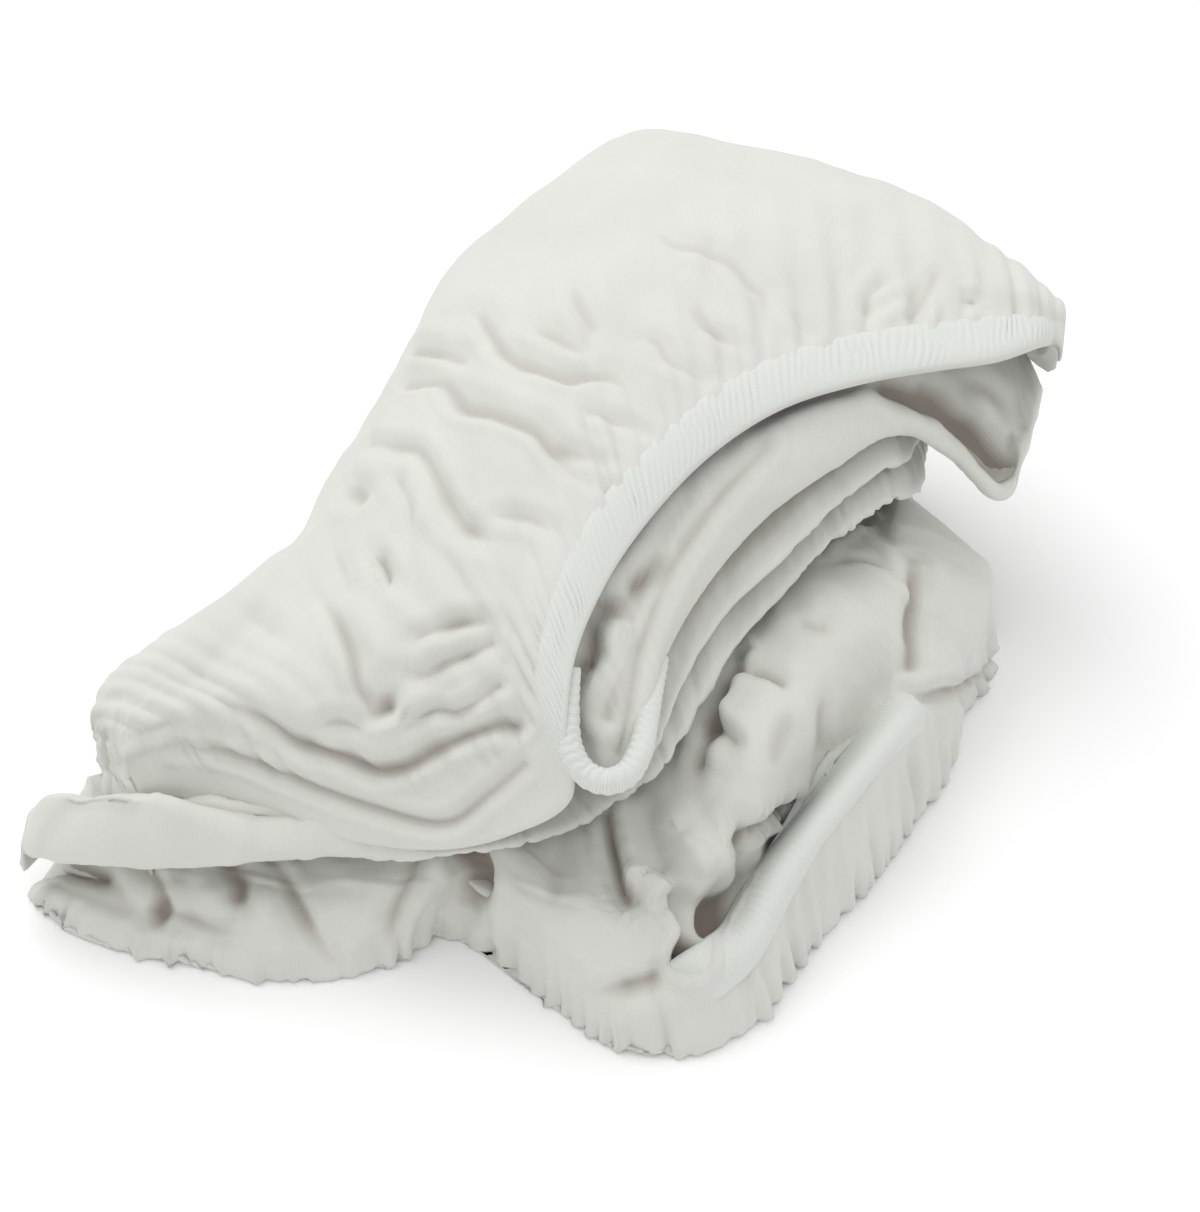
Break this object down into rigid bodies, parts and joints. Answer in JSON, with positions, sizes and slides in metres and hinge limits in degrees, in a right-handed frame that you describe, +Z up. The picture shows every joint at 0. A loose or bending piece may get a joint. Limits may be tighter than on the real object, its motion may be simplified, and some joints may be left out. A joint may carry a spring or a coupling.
{
  "type": "folded box spring cover",
  "caption": "Loosely folded bundle of white stretch bedding cloth with gathered elastic hems, lying in a heap.",
  "frame": {"origin": "middle of the bounding box in plan, on the surface the heap lies on", "axes": "+Z up, +X towards the drooping end of the heap, -Y towards the open mouth and the viewer"},
  "size_m": [0.4321, 0.423, 0.1879],
  "materials": {
    "jersey": "soft off-white knit",
    "elastic": "ribbed off-white knit elastic"
  },
  "bodies": {
    "root": {"cover_cloth": "jersey", "elastic_band_upper": "elastic", "elastic_band_lower": "elastic"}
  },
  "joints": []
}
